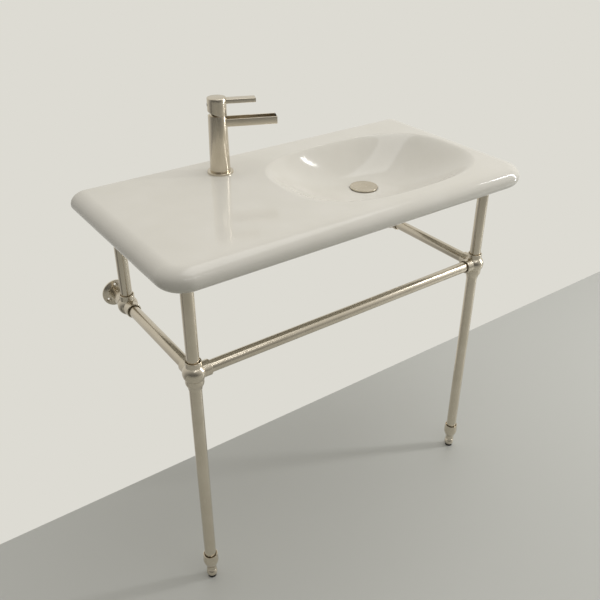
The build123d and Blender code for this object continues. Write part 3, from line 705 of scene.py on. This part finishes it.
def tapBody():
    # Slightly tapered body with a bore in its top.
    low, top, bore = tap["ringHeight"] + tap["bodyGap"], tap["bodyTop"], tap["bore"]
    boreFloor = top - tap["boreDepth"]
    profile = softened([
        (0, low, 0), (tap["bodyLow"], low, tap["bodyLowEdge"]), (tap["bodyHigh"], top, tap["bodyTopEdge"]),
        (bore, top, tap["boreEdge"]), (bore, boreFloor, 0), (0, boreFloor, 0),
    ])
    return turned(profile, (0, 0, 0), segments=tap["segments"])


def capShell():
    # Hollow cap. Its lower edge follows the plane that lies level when the lever is fully lifted,
    # pivot + (rise - radius cos(turn) sin(lift)) / cos(lift), but keeps its gap above the body at rest.
    turn = np.linspace(0, 2 * np.pi, tap["segments"], endpoint=False)
    ring = np.stack([np.cos(turn), np.sin(turn)], axis=1)
    outer, inner, top = cap["radius"], cap["radius"] - cap["wall"], cap["top"]
    rise = tap["bodyTop"] - cap["pivot"] + cap["clearance"]

    def lowEdge(radius):
        # Height of the lower edge all round at one radius.
        slant = (rise - radius * np.cos(turn) * math.sin(cap["lift"])) / math.cos(cap["lift"])
        return np.maximum(tap["bodyTop"] + cap["gap"], cap["pivot"] + slant)

    rows = [level(ring * 0, top)]
    rows += [level(ring * (outer - inwards), top - down) for inwards, down in cap["topEdge"]]
    low, sideTop = lowEdge(outer), top - cap["topEdge"][-1][1]
    for t in np.linspace(0, 1, cap["sideRows"] + 1)[1:]:
        rows.append(level(ring * outer, sideTop + (low + cap["lowEdge"] - sideTop) * t))
    rows.append(level(ring * (outer - cap["lowEdge"]), low))
    rows.append(level(ring * inner, lowEdge(inner)))
    rows.append(level(ring * inner, top - cap["wall"]))
    rows.append(level(ring * 0, top - cap["wall"]))
    return surface(np.stack(rows), closeRows=False)


def barShape(corners, start, end, endEdge):
    # A closed section in (across, up) carried along X, with a flat face on each end. Each step of endEdge,
    # (back from the end, in from the side), draws the section in along its normals to soften the far edge.
    section = np.array(softened(corners))
    along = np.roll(section, -1, axis=0) - np.roll(section, 1, axis=0)
    normal = np.stack([along[:, 1], -along[:, 0]], axis=1) / np.linalg.norm(along, axis=1)[:, None]
    rows = []
    for x, inwards in [(start, 0)] + [(end - back, inwards) for back, inwards in endEdge]:
        plan = section - normal * inwards
        rows.append(np.column_stack([np.full(len(plan), float(x)), plan]))
    vertices, faces = surface(np.stack(rows), closeRows=False)
    count = len(section)
    return vertices, faces, np.arange(count), np.arange(len(vertices) - count, len(vertices))


def spoutTrough():
    # Open channel with a U section.
    half, low, wall = spout["width"] / 2, spout["bottom"], spout["wall"]
    inner, floor, high = half - wall, low + wall, low + spout["height"]
    lowEdge, lipEdge, innerEdge = spout["lowEdge"], spout["lipEdge"], spout["innerEdge"]
    corners = [
        (-half, low, lowEdge), (half, low, lowEdge), (half, high, lipEdge), (inner, high, lipEdge),
        (inner, floor, innerEdge), (-inner, floor, innerEdge), (-inner, high, lipEdge),
        (-half, high, lipEdge),
    ]
    return barShape(corners, spout["root"], spout["reach"], spout["endEdge"])


def leverBar():
    # Flat bar with soft edges, from inside the cap to its end.
    half, top, edge = lever["width"] / 2, cap["top"] - lever["drop"], lever["edge"]
    low = top - lever["thickness"]
    corners = [(-half, low, edge), (half, low, edge), (half, top, edge), (-half, top, edge)]
    return barShape(corners, lever["tail"], lever["reach"], lever["endEdge"])


def capPlug():
    # Dished plug over the grub screw, at the back of the cap.
    radius, height, dish = plug["radius"], plug["height"], plug["dish"]
    profile = softened([
        (0, 0, 0), (radius, 0, plug["edge"]), (radius, height, plug["rimEdge"]),
        (radius - plug["rim"], dish, plug["edge"]), (0, dish, 0),
    ])
    place = (-cap["radius"] + plug["sunk"], 0, plug["up"])
    return turned(profile, place, (-1, 0, 0), segments=plug["segments"])


def buildTap():
    # The tap's visible pieces, each with its form, material, body, node and slot.
    pieces = {
        "tap_base_ring_form": (baseRing(), nickelTurned, "console", "tap_base_ring", "satin_nickel"),
        "tap_body_form": (tapBody(), nickelUpright, "console", "tap_body", "satin_nickel"),
        "tap_spout_trough": (spoutTrough(), nickelAcross, "console", "tap_spout", "satin_nickel"),
        "tap_cap_form": (capShell(), nickelUpright, "mixer_handle", "tap_cap", "satin_nickel"),
        "tap_lever_form": (leverBar(), nickelAcross, "mixer_handle", "tap_lever", "satin_nickel"),
        "cap_plug_form": (capPlug(), acetal, "mixer_handle", "cap_plug", "black_plastic"),
    }
    for name, (form, material, body, node, slot) in pieces.items():
        addPiece(name, [atTap(form)], material, body, [node])


buildTap()
print("tap made")


# waste

cover = {
    "radius": 33.2, "gap": 1, "thickness": 3.4, "dome": 0.8, "lowEdge": 0.4,
    "topEdge": ((0, 0.5), (0.2, 0.12)),  # in from the side, and down from the dome's edge
    "domeEdge": 0.6, "points": 14, "segments": 120,
}


def stopperCover():
    # Disc whose top is a shallow dome, height = top - dome (r / radius)^2.
    x, y = bowl["waste"]
    low, radius, dome, lowEdge = cover["gap"], cover["radius"], cover["dome"], cover["lowEdge"]
    high = low + cover["thickness"]
    side = [(0, low), (radius - lowEdge, low), (radius, low + lowEdge)]
    side += [(radius - inwards, high - dome - down) for inwards, down in cover["topEdge"]]
    r = np.linspace(radius - cover["domeEdge"], 0, cover["points"])
    top = np.stack([r, high - dome * (r / radius) ** 2], axis=1).tolist()
    floor = basin["deck"] - bowl["depth"]
    return turned(side + top, (x, y, floor), segments=cover["segments"], closed=False)


addPiece("stopper_cover_form", [stopperCover()], nickelTurned, "stopper", ["stopper_cover"])
print("waste made")


# floor, light and camera

# Places and sizes are in metres here, the lens and its sensor in mm, and angles in degrees.
studio = {
    "floor": "#b9bab5", "floorRoughness": 0.38, "floorHalf": 6.0, "floorEnd": 0.0, "background": "#dddbd3",
    "light": "#f4f1ec", "towardsLight": (0.5, 0.62, 0.6), "dimFrom": -0.75, "brightFrom": 0.8,
    "dimmest": 0.08, "brightest": 0.88,
}
lamps = {
    "topSoftbox": {"place": (0.5, -0.5, 2.3), "size": (2.4, 1.6), "power": 17},
    "sideWindow": {"place": (2.2, -1.3, 0.5), "size": (0.22, 2.0), "power": 24},
    "edgeStrip": {"place": (-0.2, -2.6, 1.9), "size": (2.2, 0.12), "power": 5},
}
view = {
    "place": (-0.88589, -1.43206, 0.67343), "pitch": 31.08, "yaw": 35.37, "roll": -0.07, "lens": 43.87,
    "sensor": 36,
}


def addFloor():
    # The floor ends under the wall plane, where the pale background takes over.
    mesh = bpy.data.meshes.new("studioFloor")
    half, height, end = studio["floorHalf"], tubing["ground"] * mm, studio["floorEnd"]
    corners = [(-half, -half, height), (half, -half, height), (half, end, height), (-half, end, height)]
    mesh.from_pydata(corners, [], [(0, 1, 2, 3)])
    material, _, shader = startMaterial("pouredFloor", studio["floorRoughness"])
    shader.inputs["Base Color"].default_value = toLinear(studio["floor"])
    mesh.materials.append(material)
    floor = bpy.data.objects.new("studioFloor", mesh)
    bpy.context.scene.collection.objects.link(floor)


def addLamp(name, place, size, power):
    # A rectangular lamp that faces the origin, at the back of the basin.
    lamp = bpy.data.lights.new(name, "AREA")
    lamp.shape = "RECTANGLE"
    lamp.size, lamp.size_y = size
    lamp.energy = power
    holder = bpy.data.objects.new(name, lamp)
    holder.location = place
    aim = -np.array(place) / np.linalg.norm(place)
    holder.rotation_euler = (math.acos(-aim[2]), 0, math.atan2(aim[1], aim[0]) - math.pi / 2)
    bpy.context.scene.collection.objects.link(holder)


def addWorld():
    # Light whose strength rises smoothly with the dot product of a direction and the bright one: strong from
    # the wall and the window on the right, dim from the room. The camera sees a plain pale background.
    world = bpy.data.worlds.new("studioWorld")
    bpy.context.scene.world = world
    world.use_nodes = True
    tree = world.node_tree
    light = tree.nodes["Background"]
    light.inputs["Color"].default_value = toLinear(studio["light"])
    direction = addNode(tree, "ShaderNodeTexCoord").outputs["Generated"]
    facing = addNode(
        tree, "ShaderNodeVectorMath", {1: studio["towardsLight"]}, {0: direction}, operation="DOT_PRODUCT",
    )
    limits = {
        "From Min": studio["dimFrom"], "From Max": studio["brightFrom"],
        "To Min": studio["dimmest"], "To Max": studio["brightest"],
    }
    shade = addNode(
        tree, "ShaderNodeMapRange", limits, {"Value": facing.outputs["Value"]},
        interpolation_type="SMOOTHSTEP",
    )
    tree.links.new(shade.outputs["Result"], light.inputs["Strength"])
    shown = addNode(tree, "ShaderNodeBackground", {"Color": toLinear(studio["background"]), "Strength": 1.0})
    path = addNode(tree, "ShaderNodeLightPath").outputs
    mirrored = addNode(
        tree, "ShaderNodeMath", links={0: path["Is Glossy Ray"], 1: path["Is Transmission Ray"]},
        operation="ADD",
    )
    # mirrored rays see the background too, and the more of it the stronger the light is there
    seen = addNode(
        tree, "ShaderNodeMath",
        links={0: mirrored.outputs[0], 1: shade.outputs["Result"], 2: path["Is Camera Ray"]},
        operation="MULTIPLY_ADD", use_clamp=True,
    )
    parts = {0: seen.outputs[0], 1: light.outputs[0], 2: shown.outputs[0]}
    mix = addNode(tree, "ShaderNodeMixShader", links=parts)
    tree.links.new(mix.outputs[0], tree.nodes["World Output"].inputs["Surface"])


def addCamera():
    # Camera of the photograph: it looks down by the pitch and to the right by the yaw.
    data = bpy.data.cameras.new("photoCamera")
    data.sensor_width = view["sensor"]
    data.lens = view["lens"]
    camera = bpy.data.objects.new("photoCamera", data)
    camera.location = view["place"]
    angles = (90 - view["pitch"], view["roll"], -view["yaw"])
    camera.rotation_euler = [math.radians(angle) for angle in angles]
    bpy.context.scene.collection.objects.link(camera)
    bpy.context.scene.camera = camera


addFloor()
for lampName, lampSetting in lamps.items():
    addLamp(lampName, **lampSetting)
addWorld()
addCamera()
bpy.context.scene.view_settings.view_transform = "Standard"
print("studio made")
